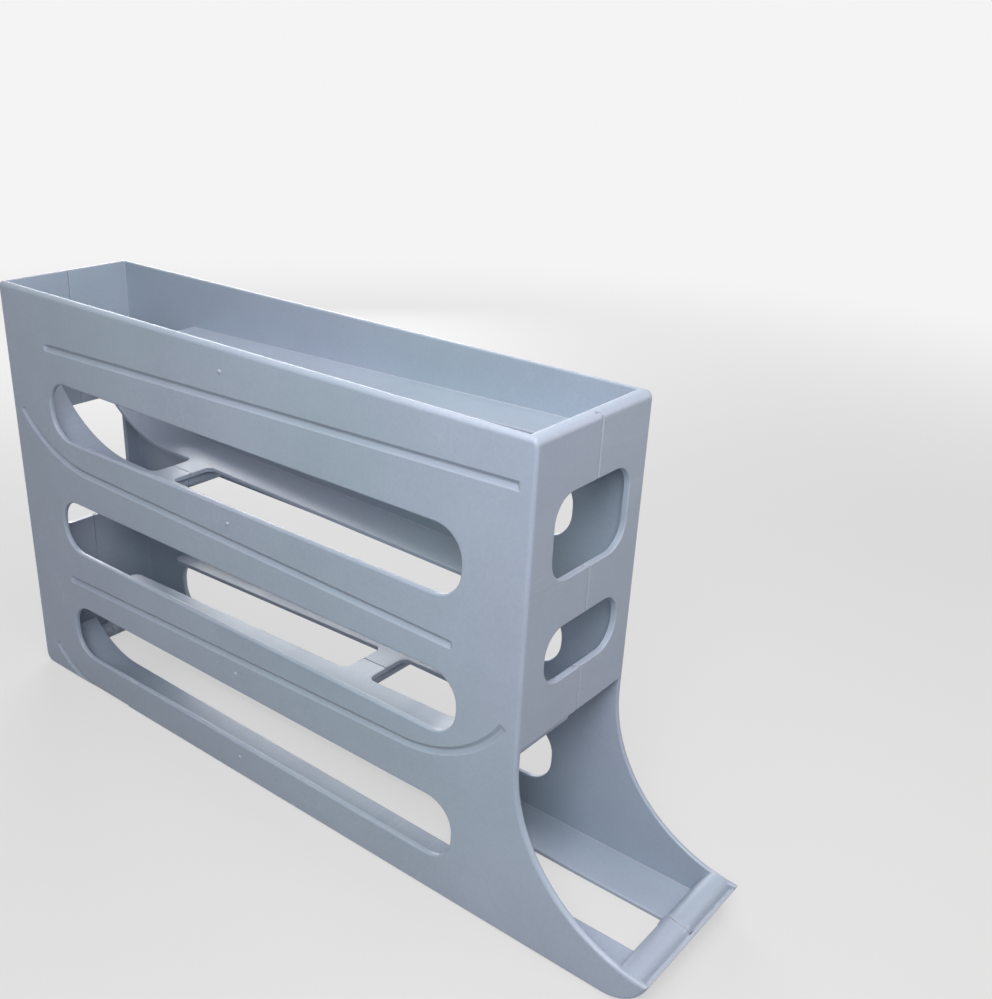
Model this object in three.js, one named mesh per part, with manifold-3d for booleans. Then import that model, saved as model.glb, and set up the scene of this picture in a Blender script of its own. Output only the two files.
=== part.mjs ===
import * as THREE from 'three';
import { mergeVertices } from 'three/addons/utils/BufferGeometryUtils.js';
import Module from 'manifold-3d';

// Gravity-fed rolling egg dispenser, moulded in two halves that plug together along the middle.
// Sizes are in millimetres. X runs from the back to the scoop, Y from the left wall, Z up.

// Body
const bodyLength = 300;
const bodyWidth = 70;
const bodyHeight = 199;
const wall = 2.6;
const edgeRound = 1.6;
const rimRound = 0.8;
const windowRound = 0.4;
const crestRound = 2.2;
const heelRadius = 5;

// Front rim, thicker than the wall under it
const frontRimWidth = 4.8;
const frontRimDepth = 6;
const frontRimRound = 3;

// Egg that the tracks are sized for, and the room that it gets where it drops a tier
const eggWidth = 46;
const dropClearance = 4;

// Scoop in front of the body
const scoopRadius = 62.7;
const scoopInset = 2.7;
const tipHeight = 13.5;
const toeRadius = 18.5;
const frontWallGap = 6.4;

// Stop bar and lip at the mouth of the scoop
const barRadius = 6.2;
const barHeight = 15.2;
const barSetback = 8;
const lipHeight = 12;
const lipWall = 1.4;
const collarRise = 0.4;
const collarWidth = 4;
const collarTaper = 2.5;

// Tiers: height of each track where its eggs come in, as a depth below the rim, as a share of the
// body's height or above the ground, and its slope in degrees
const topTrackDepth = 17;
const upperTrackShare = 0.599;
const lowerTrackShare = 0.3261;
const bottomTrackHeight = 5;
const topTrackSlope = 1.6;
const upperTrackSlope = 1.25;
const lowerTrackSlope = 1.5;
const trackSheet = 2;
const trackEdgeRound = 0.6;
const trackCornerRadius = 6;
const trackReach = 24;

// Curved guides that turn a falling egg onto the next track
const upperGuideRadius = 64;
const upperGuideStart = 55;
const lowerGuideRadius = 54.5;
const lowerGuideSetback = 53;
const bottomGuideRadius = 42;
const bottomGuideStart = 45;
const bottomGuideRise = 15;
const guideSeat = 0.6;

// Long slots in the side walls: how far above its track each one begins, its height as a share of the
// body's height, and the straight part of its ends
const slotStart = 31.5;
const slotSetback = 28;
const upperSlotRise = 12.6;
const upperSlotShare = 0.1367;
const upperSlotStraight = 3.2;
const lowerSlotRise = 10.2;
const lowerSlotShare = 0.1322;
const lowerSlotStraight = 2.3;
const bottomSlotRise = 12.3;
const bottomSlotShare = 0.1387;
const bottomSlotStraight = 3.6;

// Windows in the front and back walls: their distances from the tracks and guides above and below them
const windowWidth = 46.4;
const windowOffset = 1.4;
const upperWindowRise = 23.3;
const upperWindowDrop = 5.1;
const upperWindowStraight = 12.4;
const lowerWindowRise = 1.7;
const lowerWindowDrop = 18.3;
const lowerWindowStraight = 2.3;
const backWindowRise = 52;
const backWindowDrop = 14.3;
const backWindowStraight = 41;

// Seam between the halves: the outer skin of the left half laps over the inner skin of the right one
const seamOffset = 2;
const lapOverlap = 2;
const seamGap = 0.3;
const leftSeamChamfer = 0.2;
const rightSeamChamfer = 0.9;

// Tongue that hangs under the left half's front wall, with a slanted end
const tongueDepth = 2.3;
const tongueSetback = 1;
const tongueSlant = 1.6;
const tongueRound = 0.3;

// Pegs on the left half and sockets in the right one
const pegRadius = 2.3;
const pegLength = 8;
const pegChamfer = 0.6;
const pegPlay = 0.3;
const socketWall = 1.5;
const socketSpare = 1.2;
const bossLength = 20;
const bossSink = 0.6;
const padMargin = 2.4;
const padFillet = 4;
const upperPadPlace = 79;
const lowerPadSetback = 99;
const topPadSetback = 8;

// Engraved lines on the side walls, V-shaped, and how far each one stands above its track
const grooveWidth = 3.6;
const grooveDepth = 1.3;
const grooveFloor = 0.5;
const topGrooveStart = 31;
const topGrooveSetback = 6;
const topGrooveLift = 1.6;
const upperGrooveStart = 6.8;
const upperGrooveSetback = 30.2;
const upperGrooveLift = 1.4;
const lowerGrooveStart = 31.3;
const lowerGrooveSetback = 5.9;
const lowerGrooveLift = 1;
const bottomGrooveStart = 12.2;
const bottomGrooveEnd = 70;
const bottomGrooveRadius = 42;
const bottomGrooveHeight = 2;

// Gate marks in a column on the side walls: the first below the rim, the others above or below the slots
const gateShare = 0.505;
const gateRadius = 0.9;
const gateRise = 0.6;
const rimGateDrop = 10.3;
const slotGateDrop = 7;
const slotGateRise = 8.8;

// Fineness of the model
const chordError = 0.06;
const gateSides = 10;
const gateRings = 5;
const overrun = 5;
const weld = 1e-4;
const grid = 2 ** -12;
const nearness = 2e-3;

// Sizes that follow
const socketRadius = pegRadius + pegPlay;
const bossRadius = socketRadius + socketWall;
const dropLength = eggWidth + dropClearance;
const frontFace = bodyLength - wall;
const scoopCentre = bodyLength + scoopRadius;
const overallLength = scoopCentre - scoopInset;
const scoopHeight = tipHeight + Math.sqrt(scoopRadius ** 2 - scoopInset ** 2);
const frontWallEdge = scoopHeight + frontWallGap;
const toeCentre = overallLength - Math.sqrt(toeRadius ** 2 - (toeRadius - tipHeight) ** 2);
const barCentre = overallLength - barSetback;
const barAxisHeight = barHeight - barRadius;
const seamOuter = bodyWidth / 2 + seamOffset;
const seamInner = seamOuter - lapOverlap;

// Tracks and the guides behind or in front of them
const topTrackHeight = bodyHeight - topTrackDepth;
const upperTrackHeight = bodyHeight * upperTrackShare;
const lowerTrackHeight = bodyHeight * lowerTrackShare;
const bottomTrackSlope = THREE.MathUtils.radToDeg(
  Math.atan((bottomTrackHeight - trackSheet) / (bodyLength - bottomGuideStart)),
);
const lowerGuideStart = bodyLength - lowerGuideSetback;
const upperGuideSweep = Math.asin((upperGuideStart - wall + guideSeat) / upperGuideRadius);
const lowerGuideSweep = Math.asin((frontFace + guideSeat - lowerGuideStart) / lowerGuideRadius);
const upperGuideTop = upperTrackHeight + upperGuideRadius * (1 - Math.cos(upperGuideSweep));
const lowerGuideTop = lowerTrackHeight + lowerGuideRadius * (1 - Math.cos(lowerGuideSweep));
const shelfTop = bottomTrackHeight + bottomGuideRise;

// Openings, from the bottom and the top of each
const slotEnd = bodyLength - slotSetback;
const upperSlot = opening(
  upperTrackHeight + upperSlotRise,
  upperTrackHeight + upperSlotRise + bodyHeight * upperSlotShare,
  upperSlotStraight,
);
const lowerSlot = opening(
  lowerTrackHeight + lowerSlotRise,
  lowerTrackHeight + lowerSlotRise + bodyHeight * lowerSlotShare,
  lowerSlotStraight,
);
const bottomSlot = opening(
  bottomTrackHeight + bottomSlotRise,
  bottomTrackHeight + bottomSlotRise + bodyHeight * bottomSlotShare,
  bottomSlotStraight,
);
const upperWindow = opening(
  upperTrackHeight + upperWindowRise,
  topTrackHeight - trackSheet - upperWindowDrop,
  upperWindowStraight,
);
const lowerWindow = opening(
  lowerGuideTop + lowerWindowRise,
  upperWindow.bottom - lowerWindowDrop,
  lowerWindowStraight,
);
const backWindow = opening(
  shelfTop + backWindowRise,
  upperGuideTop - backWindowDrop,
  backWindowStraight,
);

// Heights of the gate marks, from the top down
const gateHeights = [
  bodyHeight - rimGateDrop,
  upperSlot.bottom - slotGateDrop,
  bottomSlot.top + slotGateRise,
  bottomSlot.bottom - slotGateDrop,
];

const quarter = Math.PI / 2;

const wasm = await Module();
wasm.setup();

// Axes that stand a side view (x, z), or a front view (y, z), up in the body
const sideViewAxes = new THREE.Matrix4().makeBasis(
  new THREE.Vector3(1, 0, 0),
  new THREE.Vector3(0, 0, 1),
  new THREE.Vector3(0, -1, 0),
);
const frontViewAxes = new THREE.Matrix4().makeBasis(
  new THREE.Vector3(0, 1, 0),
  new THREE.Vector3(0, 0, 1),
  new THREE.Vector3(1, 0, 0),
);

// An opening between two heights. Its corners leave the given part of its ends straight.
function opening(bottom, top, straight) {
  return { bottom, top, radius: (top - bottom - straight) / 2 };
}

// Turns a closed geometry into a solid that can be joined and cut. Its points sit on a fine grid, so that
// faces meant to lie in one plane do.
function solid(geometry) {
  geometry.deleteAttribute('normal');
  geometry.deleteAttribute('uv');
  const positions = geometry.attributes.position.array;
  positions.forEach((value, index) => {
    positions[index] = Math.round(value / grid) * grid;
  });
  const merged = mergeVertices(geometry, weld);
  return new wasm.Manifold(new wasm.Mesh({
    numProp: 3,
    vertProperties: new Float32Array(merged.attributes.position.array),
    triVerts: new Uint32Array(merged.index.array),
  }));
}

// How many chords keep close to an arc
function chords(radius, sweep) {
  return Math.ceil(Math.abs(sweep) / (2 * Math.acos(1 - chordError / radius)));
}

// Points of an arc
function arc(x, y, radius, from, to) {
  const count = chords(radius, to - from);
  return Array.from({ length: count + 1 }, (_, index) => {
    const angle = from + (to - from) * index / count;
    return new THREE.Vector2(x + radius * Math.cos(angle), y + radius * Math.sin(angle));
  });
}

// A closed shape from single points and runs of points, without those that fall together
function shapeOf(...runs) {
  const points = runs.flat().filter((point, index, all) => point.distanceTo(all.at(index - 1)) > weld);
  return new THREE.Shape(points);
}

const at = (x, y) => new THREE.Vector2(x, y);

// Extrudes a shape over a length, with the edges of both end faces rounded
function extruded(shape, length, round) {
  return new THREE.ExtrudeGeometry(shape, {
    depth: length - 2 * round,
    bevelEnabled: round > 0,
    bevelThickness: round,
    bevelSize: round,
    bevelOffset: -round,
    bevelSegments: round > 0 ? chords(round, quarter) : 0,
  });
}

// A side view (x, z) sunk into the outer face, with flanks that slope in by an inset
function sunk(shape, depth, inset) {
  const geometry = new THREE.ExtrudeGeometry(shape, {
    depth: overrun,
    bevelThickness: depth,
    bevelSize: inset,
    bevelOffset: -inset,
    bevelSegments: 1,
  });
  return solid(geometry.applyMatrix4(sideViewAxes));
}

// A side view (x, z) carried across the width, from one distance to another
function across(shape, from, to, round = 0) {
  const geometry = extruded(shape, to - from, round);
  geometry.translate(0, 0, round - to);
  return solid(geometry.applyMatrix4(sideViewAxes));
}

// A front view (y, z) carried along the body, from one x to another
function lengthwise(shape, from, to, round = 0) {
  const geometry = extruded(shape, to - from, round);
  geometry.translate(0, 0, from + round);
  return solid(geometry.applyMatrix4(frontViewAxes));
}

// A plan (x, y) carried upwards, from one height to another
function upwards(shape, from, to) {
  const geometry = extruded(shape, to - from, 0);
  return solid(geometry.translate(0, 0, from));
}

// A rectangle between two corners, with rounded corners
function rectangle(left, bottom, right, top, radius = 0) {
  if (radius === 0) {
    return shapeOf(at(left, bottom), at(right, bottom), at(right, top), at(left, top));
  }
  return shapeOf(
    arc(right - radius, bottom + radius, radius, -quarter, 0),
    arc(right - radius, top - radius, radius, 0, quarter),
    arc(left + radius, top - radius, radius, quarter, 2 * quarter),
    arc(left + radius, bottom + radius, radius, 2 * quarter, 3 * quarter),
  );
}

// Side view of the whole body: flat bottom, toe, scoop, front edge, rim and heel
function sideOutline() {
  const tipAngle = Math.atan2(tipHeight - toeRadius, overallLength - toeCentre);
  const scoopEnd = Math.atan2(tipHeight - scoopHeight, overallLength - scoopCentre);
  return shapeOf(
    arc(toeCentre, toeRadius, toeRadius, -quarter, tipAngle),
    arc(scoopCentre, scoopHeight, scoopRadius, scoopEnd, -2 * quarter),
    arc(bodyLength - frontRimRound, bodyHeight - frontRimRound, frontRimRound, 0, quarter),
    arc(crestRound, bodyHeight - crestRound, crestRound, quarter, 2 * quarter),
    arc(heelRadius, heelRadius, heelRadius, 2 * quarter, 3 * quarter),
  );
}

// Points turned down by a slope, faced forwards (1) or backwards (-1) and set down at a place
function placed(points, facing, slope, x, z) {
  const angle = THREE.MathUtils.degToRad(slope);
  const origin = at(0, 0);
  const turned = points.map((point) => point.clone().rotateAround(origin, -angle));
  return shapeOf(turned.map((point) => at(x + facing * point.x, z + point.y)));
}

// A sheet that runs straight and ends, behind its start, in a guide that curves up.
// Its top passes through the origin, where the guide begins.
function trackProfile(run, guideRadius, guideSweep, thickness) {
  const half = thickness / 2;
  const guideEnd = -quarter - guideSweep;
  const guide = guideSweep === 0 ? [at(0, 0), at(0, -thickness)] : [
    ...arc(0, guideRadius, guideRadius, -quarter, guideEnd),
    ...arc(0, guideRadius, guideRadius + thickness, guideEnd, -quarter),
  ];
  return [...guide, ...arc(run, -half, half, -quarter, quarter)];
}

// The four tracks: where each starts, which way its eggs roll, how far it runs and how its guide turns up.
// The eggs come in at the start. A guide ends inside the wall that it leans on.
const tracks = {
  top: {
    start: bodyLength - wall / 2,
    height: topTrackHeight,
    facing: -1,
    slope: topTrackSlope,
    run: bodyLength - wall / 2 - wall - dropLength,
    radius: 0,
    sweep: 0,
  },
  upper: {
    start: upperGuideStart,
    height: upperTrackHeight,
    facing: 1,
    slope: upperTrackSlope,
    run: frontFace - dropLength - upperGuideStart,
    radius: upperGuideRadius,
    sweep: upperGuideSweep,
  },
  lower: {
    start: lowerGuideStart,
    height: lowerTrackHeight,
    facing: -1,
    slope: lowerTrackSlope,
    run: lowerGuideStart - wall - dropLength,
    radius: lowerGuideRadius,
    sweep: lowerGuideSweep,
  },
  bottom: {
    start: bottomGuideStart,
    height: bottomTrackHeight,
    facing: 1,
    slope: bottomTrackSlope,
    run: bodyLength - bottomGuideStart + wall,
    radius: bottomGuideRadius,
    sweep: Math.acos(1 - bottomGuideRise / bottomGuideRadius),
  },
};

// Height of a track's top at a place along its straight run
function trackTop(track, x) {
  const slope = Math.tan(THREE.MathUtils.degToRad(track.slope));
  return track.height - slope * Math.abs(x - track.start);
}

function trackShape(track) {
  const profile = trackProfile(track.run, track.radius, track.sweep, trackSheet);
  return placed(profile, track.facing, track.slope, track.start, track.height);
}

// The half of a track that one shell carries, with the free corner of its plan rounded
function ledge(track) {
  const sheet = across(trackShape(track), wall / 2, trackReach, trackEdgeRound);
  const end = track.start + track.facing * (track.run + trackSheet / 2);
  const centre = end - track.facing * trackCornerRadius;
  const outside = end + track.facing * overrun;
  const corner = shapeOf(
    at(outside, trackReach - trackCornerRadius),
    at(outside, trackReach + overrun),
    at(centre, trackReach + overrun),
    arc(0, trackReach - trackCornerRadius, trackCornerRadius, quarter, 0)
      .map((point) => at(centre + track.facing * point.x, point.y)),
  );
  return track === tracks.bottom ? sheet : sheet.subtract(upwards(corner, -overrun, bodyHeight));
}

// Where the halves plug together. A pad bridges the gap between the ledges, over a boss that hangs under it.
const joints = [
  { track: tracks.top, x: frontFace - bossRadius + bossSink },
  { track: tracks.top, x: wall + dropLength + topPadSetback },
  { track: tracks.upper, x: upperPadPlace },
  { track: tracks.lower, x: bodyLength - lowerPadSetback },
].map(({ track, x }) => ({
  track,
  x,
  z: trackTop(track, x) - trackSheet - bossRadius + bossSink,
}));
const heelJoint = { x: wall + bossRadius - bossSink, z: heelRadius + bossSink };
const barJoint = { x: barCentre, z: barAxisHeight };

// A round bar across the width
function rod(radius, x, z, from, to) {
  const geometry = new THREE.CylinderGeometry(radius, radius, to - from, chords(radius, 4 * quarter));
  return solid(geometry.translate(x, (from + to) / 2, z));
}

// A peg that stands out of the seam, with a chamfered tip
function peg(x, z, root, tip) {
  const profile = [
    new THREE.Vector2(0, root),
    new THREE.Vector2(pegRadius, root),
    new THREE.Vector2(pegRadius, tip - pegChamfer),
    new THREE.Vector2(pegRadius - pegChamfer, tip),
    new THREE.Vector2(0, tip),
  ];
  return solid(new THREE.LatheGeometry(profile, chords(pegRadius, 4 * quarter)).translate(x, 0, z));
}

// The pad over a boss: part of the track's own sheet, flared where it leaves the ledge
function pad({ track, x }, reach) {
  const half = bossRadius + padMargin;
  const edge = trackReach - trackEdgeRound;
  const flare = half + padFillet;
  const plan = shapeOf(
    at(x - flare, edge - padFillet),
    at(x + flare, edge - padFillet),
    arc(x + flare, edge + padFillet, padFillet, -quarter, -2 * quarter),
    at(x + half, reach),
    at(x - half, reach),
    arc(x - flare, edge + padFillet, padFillet, 0, -quarter),
  );
  const sheet = across(trackShape(track), wall, reach);
  return sheet.intersect(upwards(plan, -overrun, bodyHeight));
}

function boss({ x, z }, reach) {
  return rod(bossRadius, x, z, seamInner - bossLength, reach);
}

// The part of a side view that lies inside the lap along the seam, as two overlapping outlines
function lapCore(inset) {
  const upper = rectangle(inset, -overrun, bodyLength - inset, bodyHeight + overrun);
  const scoop = shapeOf(
    at(frontFace - wall, inset),
    arc(toeCentre, toeRadius, toeRadius - inset, -quarter, 0),
    at(toeCentre + toeRadius - inset, frontWallEdge - overrun),
    at(frontFace - wall, frontWallEdge - overrun),
  );
  return [upper, scoop];
}

// The side wall, with the three slots and their rounded rims
function sideWall() {
  const outline = sideOutline();
  outline.holes = [upperSlot, lowerSlot, bottomSlot].map(({ bottom, top, radius }) => (
    rectangle(slotStart, bottom, slotEnd, top, radius)
  ));
  return across(outline, 0, wall, rimRound);
}

// A wall across the body, with windows at a given place in its width
function crossWall(from, to, foot, centre, windows) {
  const outline = rectangle(-overrun, foot, bodyWidth, bodyHeight);
  outline.holes = windows.map(({ bottom, top, radius }) => (
    rectangle(centre - windowWidth / 2, bottom, centre + windowWidth / 2, top, radius)
  ));
  return lengthwise(outline, from, to, windowRound);
}

// The thicker rim of the front wall, sloped on its underside
function frontRim() {
  const inner = bodyLength - frontRimWidth;
  const rim = shapeOf(
    at(inner, bodyHeight - frontRimDepth),
    at(frontFace + wall / 2, bodyHeight - frontRimDepth - wall),
    at(frontFace + wall / 2, bodyHeight),
    arc(inner + rimRound, bodyHeight - rimRound, rimRound, quarter, 2 * quarter),
  );
  return across(rim, wall / 2, bodyWidth);
}

// The room inside the outer faces, with the crests of the side walls rounded
function envelope() {
  const crest = shapeOf(
    at(0, -overrun),
    at(bodyWidth * 2, -overrun),
    at(bodyWidth * 2, bodyHeight),
    arc(crestRound, bodyHeight - crestRound, crestRound, quarter, 2 * quarter),
  );
  return across(sideOutline(), 0, bodyWidth * 2, edgeRound)
    .intersect(lengthwise(crest, -overrun, overallLength + overrun));
}

// The swelling of the stop bar beside the seam
function collar(from, to) {
  const profile = [
    new THREE.Vector2(0, from),
    new THREE.Vector2(barRadius - collarRise, from),
    new THREE.Vector2(barRadius + collarRise, from + collarTaper),
    new THREE.Vector2(barRadius + collarRise, to),
    new THREE.Vector2(0, to),
  ];
  const ring = new THREE.LatheGeometry(profile, chords(barRadius, 4 * quarter));
  return solid(ring.translate(barCentre, 0, barAxisHeight));
}

// The stop bar, and the lip in front of it that closes the toe
function mouth(seam, reach) {
  const lipAngle = Math.asin((lipHeight - toeRadius) / toeRadius);
  const lip = shapeOf(
    arc(toeCentre, toeRadius, toeRadius + overrun, -quarter, lipAngle),
    arc(toeCentre, toeRadius, toeRadius - lipWall, lipAngle, -quarter),
  );
  const bar = rod(barRadius, barCentre, barAxisHeight, wall / 2, reach);
  return across(lip, wall / 2, reach).add(bar).add(collar(seam - collarWidth, reach));
}

// The tray of the scoop, flat on its underside, and the short shelf behind the bottom guide
function bottomTray() {
  const tray = rectangle(bodyLength - overrun, 0, toeCentre + wall, trackSheet);
  const guideTop = bottomGuideStart - bottomGuideRadius * Math.sin(tracks.bottom.sweep);
  const shelf = rectangle(wall / 2, shelfTop - trackSheet, guideTop, shelfTop);
  return [tray, shelf].map((shape) => across(shape, wall / 2, trackReach, trackEdgeRound));
}

// An engraved line that follows a track, with its own ends
function groove(track, start, end, lift) {
  const front = track.facing > 0 ? end : start;
  const back = track.facing > 0 ? start : end;
  const run = Math.abs(front - track.start) - grooveWidth / 2;
  const radius = track.radius + grooveWidth / 2;
  const sweep = track.radius > 0 ? Math.asin(Math.abs(back - track.start) / radius) : 0;
  const profile = trackProfile(run, track.radius, sweep, grooveWidth);
  const line = placed(profile, track.facing, track.slope, track.start, track.height + lift);
  return sunk(line, grooveDepth, (grooveWidth - grooveFloor) / 2);
}

function grooves() {
  const topEnd = bodyLength - topGrooveSetback;
  const top = { ...tracks.top, start: topEnd, height: trackTop(tracks.top, topEnd) };
  const bottom = { ...tracks.bottom, height: bottomGrooveHeight, radius: bottomGrooveRadius };
  return wasm.Manifold.union([
    groove(top, topGrooveStart, topEnd, topGrooveLift),
    groove(tracks.upper, upperGrooveStart, bodyLength - upperGrooveSetback, upperGrooveLift),
    groove(tracks.lower, lowerGrooveStart, bodyLength - lowerGrooveSetback, lowerGrooveLift),
    groove(bottom, bottomGrooveStart, bottomGrooveEnd, 0),
  ]);
}

function gateMark(height) {
  const dome = new THREE.SphereGeometry(gateRadius, gateSides, gateRings);
  dome.scale(1, gateRise / gateRadius, 1);
  return solid(dome.translate(bodyLength * gateShare, 0, height));
}

// One half without its pegs or sockets. Its outer face lies at y = 0 and it grows inwards.
// outerReach and innerReach are where its outer and inner skins end at the seam.
function halfShell(outerReach, innerReach, windowCentre, lapInset) {
  const reach = Math.max(outerReach, innerReach) + overrun;
  const pieces = [
    sideWall(),
    crossWall(frontFace, bodyLength, frontWallEdge, windowCentre, [upperWindow, lowerWindow]),
    crossWall(0, wall, 0, windowCentre, [backWindow]),
    frontRim(),
    mouth(innerReach, reach),
    ...bottomTray(),
    ...Object.values(tracks).map(ledge),
    ...joints.map((joint) => pad(joint, reach)),
    ...[...joints, heelJoint].map((joint) => boss(joint, reach)),
  ];
  const whole = rectangle(-overrun, -overrun, overallLength + overrun, bodyHeight + overrun);
  const core = wasm.Manifold.union(lapCore(lapInset).map((shape) => across(shape, -overrun, reach)));
  const lap = across(whole, -overrun, Math.max(outerReach, innerReach));
  const room = across(whole, -overrun, Math.min(outerReach, innerReach))
    .add(outerReach > innerReach ? lap.subtract(core) : lap.intersect(core))
    .intersect(envelope());
  return wasm.Manifold.union(pieces)
    .intersect(room)
    .subtract(grooves())
    .add(wasm.Manifold.union(gateHeights.map(gateMark)));
}

// Cuts the outer edge of the seam off at an angle, along the whole front
function seamChamfer(reach, size) {
  return upwards(shapeOf(
    at(bodyLength - size - overrun, reach + overrun),
    at(bodyLength + overrun, reach - size - overrun),
    at(bodyLength + overrun, reach + overrun),
  ), 0, bodyHeight + overrun);
}

// The tongue under the front wall of the left half
function edgeTongue(reach) {
  const foot = frontWallEdge - tongueDepth;
  const outline = shapeOf(
    at(wall / 2, foot),
    at(reach - tongueSlant, foot),
    at(reach, frontWallEdge),
    at(reach, frontWallEdge + wall),
    at(wall / 2, frontWallEdge + wall),
  );
  return lengthwise(outline, frontFace, bodyLength - tongueSetback, tongueRound);
}

// The left half, with its pegs and the tongue under its front wall
function leftShell() {
  const outerReach = seamOuter - seamGap / 2;
  const innerReach = seamInner - seamGap / 2;
  const pegs = [...joints, heelJoint, barJoint].map(({ x, z }) => (
    peg(x, z, innerReach - pegChamfer, seamInner + pegLength)
  ));
  return halfShell(outerReach, innerReach, bodyWidth / 2 + windowOffset, wall / 2)
    .add(edgeTongue(innerReach))
    .subtract(seamChamfer(outerReach, leftSeamChamfer))
    .add(wasm.Manifold.union(pegs));
}

// The right half, built from its own outer face, with a socket for each peg
function rightShell() {
  const outerReach = bodyWidth - seamOuter - seamGap / 2;
  const innerReach = bodyWidth - seamInner - seamGap / 2;
  const socketEnd = bodyWidth - seamInner - pegLength - socketSpare;
  const sockets = [...joints, heelJoint, barJoint].map(({ x, z }) => (
    rod(socketRadius, x, z, socketEnd, innerReach + overrun)
  ));
  return halfShell(outerReach, innerReach, bodyWidth / 2 - windowOffset, wall / 2 + seamGap)
    .subtract(seamChamfer(outerReach, rightSeamChamfer))
    .subtract(wasm.Manifold.union(sockets));
}

// A solid as a geometry again, without points that all but coincide
function geometryOf(body) {
  const mesh = body.simplify(nearness).getMesh();
  const geometry = new THREE.BufferGeometry();
  geometry.setAttribute('position', new THREE.BufferAttribute(mesh.vertProperties, mesh.numProp));
  geometry.setIndex(new THREE.BufferAttribute(mesh.triVerts, 1));
  geometry.computeVertexNormals();
  return geometry;
}

// The same geometry as its mirror image across the width, with its faces still pointing out
function mirrored(geometry) {
  geometry.scale(1, -1, 1);
  geometry.translate(0, bodyWidth, 0);
  const index = geometry.index.array;
  for (let corner = 0; corner < index.length; corner += 3) {
    [index[corner], index[corner + 1]] = [index[corner + 1], index[corner]];
  }
  geometry.computeVertexNormals();
  return geometry;
}

function shellMesh(name, geometry) {
  const material = new THREE.MeshStandardMaterial({ color: 0x8794a3, roughness: 0.42, metalness: 0 });
  const mesh = new THREE.Mesh(geometry, material);
  mesh.name = name;
  return mesh;
}

// The two halves, centred over their foot
const dispenser = new THREE.Group();
dispenser.add(shellMesh('left_shell', geometryOf(leftShell())));
dispenser.add(shellMesh('right_shell', mirrored(geometryOf(rightShell()))));
dispenser.position.set(-overallLength / 2, -bodyWidth / 2, 0);

export default dispenser;
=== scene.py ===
import math

import bpy
from mathutils import Euler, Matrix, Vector

# Rolling egg dispenser: two moulded halves of blue-grey satin plastic on a pale studio floor.
# Lengths are in metres.
MM = 0.001

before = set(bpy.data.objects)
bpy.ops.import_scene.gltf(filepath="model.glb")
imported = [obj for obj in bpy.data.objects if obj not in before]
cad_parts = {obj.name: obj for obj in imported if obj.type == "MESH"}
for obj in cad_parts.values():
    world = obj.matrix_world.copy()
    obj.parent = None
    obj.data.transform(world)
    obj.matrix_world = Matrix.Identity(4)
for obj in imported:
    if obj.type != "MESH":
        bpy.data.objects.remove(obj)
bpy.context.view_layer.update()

# Camera: the photograph's viewing angle, turned in degrees, with lens and sensor in millimetres
CAMERA_PLACE = Vector((306.67, -313.2, 319.56)) * MM
CAMERA_TURN = (64.992, -1.579, 39.808)
CAMERA_LENS = 41.67
CAMERA_SENSOR = 36.0
CAMERA_SHIFT = (0.0601, 0.0405)
CAMERA_CLIP = 10 * MM

# Each half of the dispenser, and how far its pattern of tone and grain is shifted
SHELL_SEEDS = {"left_shell": 0.35, "right_shell": 0.36}

# Colours of the plastic: two tones that drift into each other, a painted highlight along edges and
# rubbed marks
PLASTIC_COOL = "#8C9CA9"
PLASTIC_WARM = "#919CAD"
PLASTIC_EDGE_HIGHLIGHT = "#B2B2BC"
PLASTIC_RUB = "#AAB5C2"

# Noises in the plastic: spots per metre, octaves and, where given, their roughness
DRIFT = (7.0, 2.5)
CLOUD = (24.0, 4.0, 0.6)
SPECK = (900.0, 3.0)
RUB_PATCH = (14.0, 1.0)
WEAR = (60.0, 6.0, 0.7)
SINKS = (28.0, 1.0)
GRAIN = (2600.0, 2.0)

# What they give: the noise's low and high mark, and what those two become
DRIFT_RANGE = (0.35, 0.65, 0.0, 1.0)
CLOUD_RANGE = (0.3, 0.7, 0.96, 1.04)
SPECK_RANGE = (0.3, 0.7, 0.97, 1.03)
RUB_PATCH_RANGE = (0.5, 0.68, 0.0, 0.18)
ROUGHNESS_RANGE = (0.45, 0.75, 0.4, 0.52)

# Depth and strength of the relief
SINKS_RELIEF = (0.4 * MM, 0.25)
GRAIN_RELIEF = (0.03 * MM, 0.35)

# Hairlines: turn in radians of each set, with its spots per metre and octaves, how the spots are
# stretched, the half width of a line in the noise, and how much glossier a rubbed mark is
HAIRLINES = (((0.2, 0.9, 0.6), (60.0, 1.0)), ((1.1, 0.3, 2.1), (85.0, 1.0)))
HAIRLINE_STRETCH = (1.0, 0.03, 1.0)
HAIRLINE_WIDTH = 0.012
NOISE_MIDDLE = 0.5
RUB_GLOSS = 0.15

# Edges: radius at which the shader rounds them, its samples, the cosines between the rounded and
# the true normal at which the painted edge highlight starts and is brightest, and how strong it
# gets
EDGE_ROUND = 0.65 * MM
EDGE_SAMPLES = 6
EDGE_HIGHLIGHT_RANGE = (0.995, 0.88, 0.0, 0.8)
PLASTIC_IOR = 1.49

# Shading: cosines above which faces count as one plane or as meeting softly, and the distance
# within which points count as one
SAME_PLANE = math.cos(math.radians(1.5))
SOFT_EDGE = math.cos(math.radians(35.0))
WELD = 0.002 * MM

# The stop bar's axis, and the part round its top, measured from that axis, that is shaded as a
# round, on faces that look away from the axis
BAR_AXIS = Vector((172.0, 0.0, 9.0)) * MM
BAR_TOP_REACH = 4.0 * MM
BAR_TOP_LOW = 4.5 * MM
BAR_TOP_HIGH = 6.7 * MM
BAR_END = 33.5 * MM
BAR_FACING = 0.7

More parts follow.
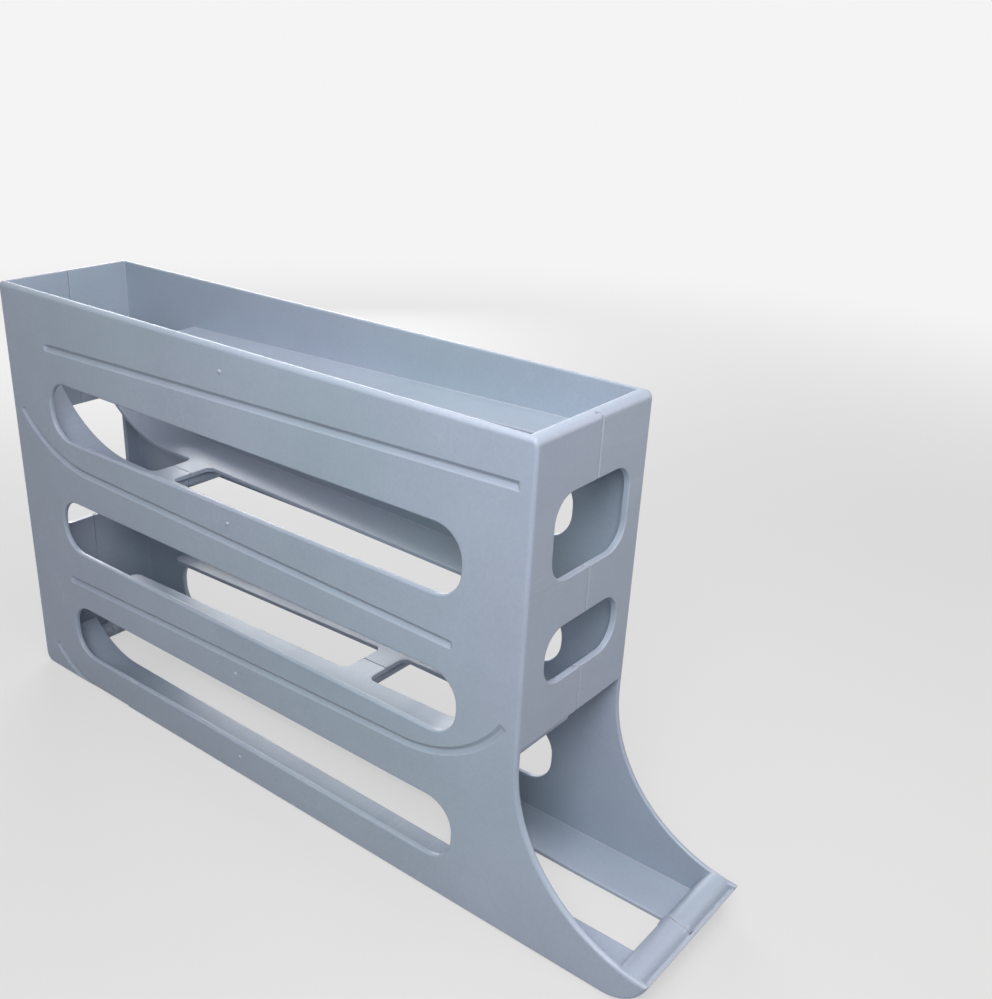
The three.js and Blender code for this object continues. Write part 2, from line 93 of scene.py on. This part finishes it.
# Floor: the rays that show the backdrop see it glow like the backdrop, in part up to the near
# distance from its middle and fully from the far one
FLOOR_COLOUR = "#A8A8A8"
FLOOR_GLOW = 0.6
FLOOR_SIZE = 6.0
FLOOR_NEAR = 0.3
FLOOR_FAR = 1.2

# Backdrop, the rays that show it, and the dim room that lights the dispenser from all sides
BACKDROP_COLOUR = "#F4F4F4"
BACKDROP_RAYS = ("Is Camera Ray", "Is Glossy Ray", "Is Transmission Ray")
ROOM_COLOUR = "#F0F4FF"
ROOM_STRENGTH = 0.09

# Softboxes above, beside the near front corner, before the front wall and behind: name, place,
# point that it faces, size, watts and colour
SOFTBOXES = (
    ("above", (0.16, -0.1, 0.62), (0.1, 0.0, 0.12), (0.6, 0.5), 3.5, "#FFF8F5"),
    ("beside", (0.31, -0.4, 0.46), (0.15, 0.0, 0.08), (0.26, 0.26), 2.87, "#FFFFFF"),
    ("before", (0.36, 0.36, 0.3), (0.12, 0.03, 0.14), (0.22, 0.22), 0.42, "#FFF0F2"),
    ("behind", (-0.6, 0.5, 0.32), (-0.05, 0.0, 0.1), (0.5, 0.5), 6.5, "#FFFFFF"),
)


def linear(code):
    """A colour code as the linear numbers that shaders take, by the sRGB formula."""
    channels = [int(code[i : i + 2], 16) / 255 for i in (1, 3, 5)]
    return [c / 12.92 if c <= 0.04045 else ((c + 0.055) / 1.055) ** 2.4 for c in channels] + [1.0]


class Nodes:
    """Fills the node tree of a material or world."""

    def __init__(self, owner):
        owner.use_nodes = True
        self.tree = owner.node_tree
        self.tree.nodes.clear()

    def feed(self, socket, value):
        """Links another node's output to a socket, or sets the socket to a plain value."""
        if isinstance(value, bpy.types.NodeSocket):
            self.tree.links.new(value, socket)
        else:
            socket.default_value = value

    def add(self, kind, settings=None, **inputs):
        """A node whose inputs are given by name."""
        node = self.tree.nodes.new("ShaderNode" + kind)
        for key, value in (settings or {}).items():
            setattr(node, key, value)
        for key, value in inputs.items():
            self.feed(node.inputs[key.replace("_", " ")], value)
        return node

    def add_numbered(self, kind, settings, inputs):
        """A node with inputs of the same name, which are given by number."""
        node = self.add(kind, settings)
        for number, value in inputs.items():
            self.feed(node.inputs[number], value)
        return node

    def noise(self, place, scale, detail, roughness=0.5):
        node = self.add("TexNoise", Vector=place, Scale=scale, Detail=detail, Roughness=roughness)
        return node.outputs["Fac"]

    def remap(self, value, low, high, to_low, to_high, how="LINEAR"):
        marks = {"From_Min": low, "From_Max": high, "To_Min": to_low, "To_Max": to_high}
        node = self.add("MapRange", {"interpolation_type": how}, Value=value, **marks)
        return node.outputs["Result"]

    def mix(self, factor, a, b, blend="MIX"):
        """Two colours mixed, through the node's sockets for colours."""
        settings = {"data_type": "RGBA", "blend_type": blend}
        return self.add_numbered("Mix", settings, {0: factor, 6: a, 7: b}).outputs[2]

    def math(self, operation, a, b=0.0):
        return self.add_numbered("Math", {"operation": operation}, {0: a, 1: b}).outputs[0]

    def vector_math(self, operation, a, b=(0.0, 0.0, 0.0)):
        node = self.add_numbered("VectorMath", {"operation": operation}, {0: a, 1: b})
        return node.outputs["Value"]

    def mix_shaders(self, factor, a, b):
        return self.add_numbered("MixShader", None, {0: factor, 1: a, 2: b}).outputs["Shader"]

    def showing_rays(self, *kinds):
        """One where a ray is of one of these kinds, or else zero."""
        path = self.add("LightPath").outputs
        showing = path[kinds[0]]
        for kind in kinds[1:]:
            showing = self.math("MAXIMUM", showing, path[kind])
        return showing

    def hairlines(self, place, turn, spots):
        """Thin bent lines that run one way, each a band of a stretched noise."""
        turned = self.add("Mapping", Vector=place, Rotation=turn, Scale=HAIRLINE_STRETCH)
        level = self.noise(turned.outputs["Vector"], *spots)
        band = self.math("ABSOLUTE", self.math("SUBTRACT", level, NOISE_MIDDLE))
        return self.remap(band, 0.0, HAIRLINE_WIDTH, 1.0, 0.0)

    def bump(self, height, distance, strength, normal):
        node = self.add("Bump", Height=height, Distance=distance, Strength=strength, Normal=normal)
        return node.outputs["Normal"]


def moulded_plastic(name, seed):
    """Satin plastic: slow drift of tone, fine grain, faint sinks and rubs, and a painted highlight
    along the edges.
    """
    material = bpy.data.materials.new(name)
    nodes = Nodes(material)
    place = nodes.add("TexCoord").outputs["Object"]
    place = nodes.add("Mapping", Vector=place, Location=(seed, seed, seed)).outputs["Vector"]

    drift = nodes.remap(nodes.noise(place, *DRIFT), *DRIFT_RANGE)
    colour = nodes.mix(drift, linear(PLASTIC_COOL), linear(PLASTIC_WARM))
    cloud = nodes.remap(nodes.noise(place, *CLOUD), *CLOUD_RANGE)
    speck = nodes.remap(nodes.noise(place, *SPECK), *SPECK_RANGE)
    tone = nodes.math("MULTIPLY", cloud, speck)
    shade = nodes.add("CombineColor", Red=tone, Green=tone, Blue=tone).outputs["Color"]
    colour = nodes.mix(1.0, colour, shade, "MULTIPLY")

    lines = [nodes.hairlines(place, turn, spots) for turn, spots in HAIRLINES]
    patches = nodes.remap(nodes.noise(place, *RUB_PATCH), *RUB_PATCH_RANGE)
    rubs = nodes.math("MULTIPLY", nodes.math("ADD", *lines), patches)
    colour = nodes.mix(rubs, colour, linear(PLASTIC_RUB))

    rounded = nodes.add("Bevel", {"samples": EDGE_SAMPLES}, Radius=EDGE_ROUND).outputs["Normal"]
    true_normal = nodes.add("NewGeometry").outputs["Normal"]
    # Painted highlight: where the rounded normal turns away from the true one, the edge is
    # lightened as if it caught the light
    edge_highlight = nodes.remap(nodes.vector_math("DOT_PRODUCT", rounded, true_normal), *EDGE_HIGHLIGHT_RANGE)
    colour = nodes.mix(edge_highlight, colour, linear(PLASTIC_EDGE_HIGHLIGHT))

    normal = nodes.bump(nodes.noise(place, *SINKS), *SINKS_RELIEF, rounded)
    normal = nodes.bump(nodes.noise(place, *GRAIN), *GRAIN_RELIEF, normal)

    roughness = nodes.remap(nodes.noise(place, *WEAR), *ROUGHNESS_RANGE)
    roughness = nodes.math("SUBTRACT", roughness, nodes.math("MULTIPLY", rubs, RUB_GLOSS))
    shader = nodes.add("BsdfPrincipled", Base_Color=colour, Roughness=roughness, Normal=normal)
    shader.inputs["IOR"].default_value = PLASTIC_IOR
    nodes.add("OutputMaterial", Surface=shader.outputs["BSDF"])
    return material


def planar_regions(mesh, points):
    """Groups faces that share an edge and lie in one plane: each face's group, and the groups."""
    beside = {}
    for face in mesh.polygons:
        ring = [points[vertex] for vertex in face.vertices]
        for pair in zip(ring, ring[1:] + ring[:1]):
            beside.setdefault(frozenset(pair), []).append(face.index)
    neighbours = [set() for _ in mesh.polygons]
    for faces in beside.values():
        for face in faces:
            neighbours[face].update(faces)
    group_of = [None] * len(mesh.polygons)
    groups = []
    for seed in sorted(mesh.polygons, key=lambda face: -face.area):
        if group_of[seed.index] is not None:
            continue
        group = []
        open_faces = [seed.index]
        while open_faces:
            index = open_faces.pop()
            level = mesh.polygons[index].normal.dot(seed.normal) > SAME_PLANE
            if group_of[index] is None and level:
                group_of[index] = len(groups)
                group.append(index)
                open_faces.extend(neighbours[index])
        groups.append(group or [seed.index])
        group_of[seed.index] = len(groups) - 1
    return group_of, groups


def mean_width(mesh, group):
    """Area of a group of faces over its greatest length."""
    faces = [mesh.polygons[index] for index in group]
    corners = [mesh.vertices[vertex].co for face in faces for vertex in face.vertices]
    spans = Vector([max(along) - min(along) for along in zip(*corners)])
    return sum(face.area for face in faces) / max(spans.length, WELD)


def softly_joined(group, meeting, normals):
    """Those of the groups meeting at a point that one of them reaches over soft edges."""
    joined = {group}
    while True:
        linked = {b for a in joined for b in meeting if normals[a].dot(normals[b]) > SOFT_EDGE}
        if linked <= joined:
            return joined
        joined |= linked


def round_bar_top(mesh, shading):
    """Shades the stop bar's top, which the scoop's outline trims, as one round with its sides."""
    for face in mesh.polygons:
        for loop in face.loop_indices:
            reach = mesh.vertices[mesh.loops[loop].vertex_index].co - BAR_AXIS
            outward = Vector((reach.x, 0.0, reach.z)).normalized()
            at_top = abs(reach.x) < BAR_TOP_REACH and BAR_TOP_LOW < reach.z < BAR_TOP_HIGH
            on_bar = abs(reach.y) < BAR_END and face.normal.dot(outward) > BAR_FACING
            if at_top and on_bar:
                shading[loop] = outward


def round_off_shading(mesh):
    """Shades rounded rims as curves and wide walls as flats, however their faces are cut."""
    ids = {}
    places = [tuple(round(c / WELD) for c in vertex.co) for vertex in mesh.vertices]
    points = [ids.setdefault(place, len(ids)) for place in places]
    group_of, groups = planar_regions(mesh, points)
    normals = [mesh.polygons[group[0]].normal.copy() for group in groups]
    weights = [mean_width(mesh, group) ** 2 for group in groups]
    corners = {}
    for face in mesh.polygons:
        for loop in face.loop_indices:
            point = points[mesh.loops[loop].vertex_index]
            corners.setdefault(point, []).append((loop, group_of[face.index]))
    shading = [None] * len(mesh.loops)
    for around in corners.values():
        meeting = {group for _, group in around}
        for loop, group in around:
            joined = softly_joined(group, meeting, normals)
            total = sum((normals[item] * weights[item] for item in joined), Vector())
            shading[loop] = total.normalized()
    round_bar_top(mesh, shading)
    mesh.shade_smooth()
    mesh.normals_split_custom_set(shading)


def finish_shell(name, seed):
    """Gives a moulded half its plastic, smooth rounded rims and flat walls."""
    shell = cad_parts[name]
    shell.data.materials.clear()
    shell.data.materials.append(moulded_plastic(name + "_plastic", seed))
    round_off_shading(shell.data)


def stage():
    """The pale floor. Away from the dispenser it fades into the plain backdrop."""
    bpy.ops.mesh.primitive_plane_add(size=FLOOR_SIZE)
    floor = bpy.context.object
    floor.name = "studio_floor"
    material = bpy.data.materials.new("studio_floor")
    nodes = Nodes(material)
    distance = nodes.vector_math("LENGTH", nodes.add("TexCoord").outputs["Object"])
    glow = nodes.remap(distance, FLOOR_NEAR, FLOOR_FAR, FLOOR_GLOW, 1.0, "SMOOTHSTEP")
    seen = nodes.showing_rays(*BACKDROP_RAYS)
    lit = nodes.add("BsdfDiffuse", Color=linear(FLOOR_COLOUR)).outputs["BSDF"]
    plain = nodes.add("Emission", Color=linear(BACKDROP_COLOUR), Strength=1.0).outputs["Emission"]
    blend = nodes.mix_shaders(nodes.math("MULTIPLY", glow, seen), lit, plain)
    nodes.add("OutputMaterial", Surface=blend)
    floor.data.materials.append(material)


def soft_light(name, place, aim, size, power, colour):
    data = bpy.data.lights.new(name, "AREA")
    data.shape = "RECTANGLE"
    data.size, data.size_y = size
    data.energy = power
    data.color = linear(colour)[:3]
    lamp = bpy.data.objects.new(name, data)
    bpy.context.scene.collection.objects.link(lamp)
    lamp.visible_camera = False
    lamp.location = place
    lamp.rotation_euler = (Vector(aim) - Vector(place)).to_track_quat("-Z", "Y").to_euler()


def room():
    """A dim pale room that is seen as the plain backdrop, also in reflections."""
    world = bpy.data.worlds.new("studio")
    bpy.context.scene.world = world
    nodes = Nodes(world)
    seen = nodes.showing_rays(*BACKDROP_RAYS)
    dim = nodes.add("Background", Color=linear(ROOM_COLOUR), Strength=ROOM_STRENGTH)
    plain = nodes.add("Background", Color=linear(BACKDROP_COLOUR), Strength=1.0)
    blend = nodes.mix_shaders(seen, dim.outputs["Background"], plain.outputs["Background"])
    nodes.add("OutputWorld", Surface=blend)


def camera():
    data = bpy.data.cameras.new("camera")
    data.lens = CAMERA_LENS
    data.sensor_width = CAMERA_SENSOR
    data.shift_x, data.shift_y = CAMERA_SHIFT
    data.clip_start = CAMERA_CLIP
    eye = bpy.data.objects.new("camera", data)
    bpy.context.scene.collection.objects.link(eye)
    eye.location = CAMERA_PLACE
    eye.rotation_euler = Euler([math.radians(turn) for turn in CAMERA_TURN])
    bpy.context.scene.camera = eye


camera()
for softbox in SOFTBOXES:
    soft_light(*softbox)
room()
stage()
for shell_name, shell_seed in SHELL_SEEDS.items():
    finish_shell(shell_name, shell_seed)
bpy.context.scene.view_settings.view_transform = "Standard"
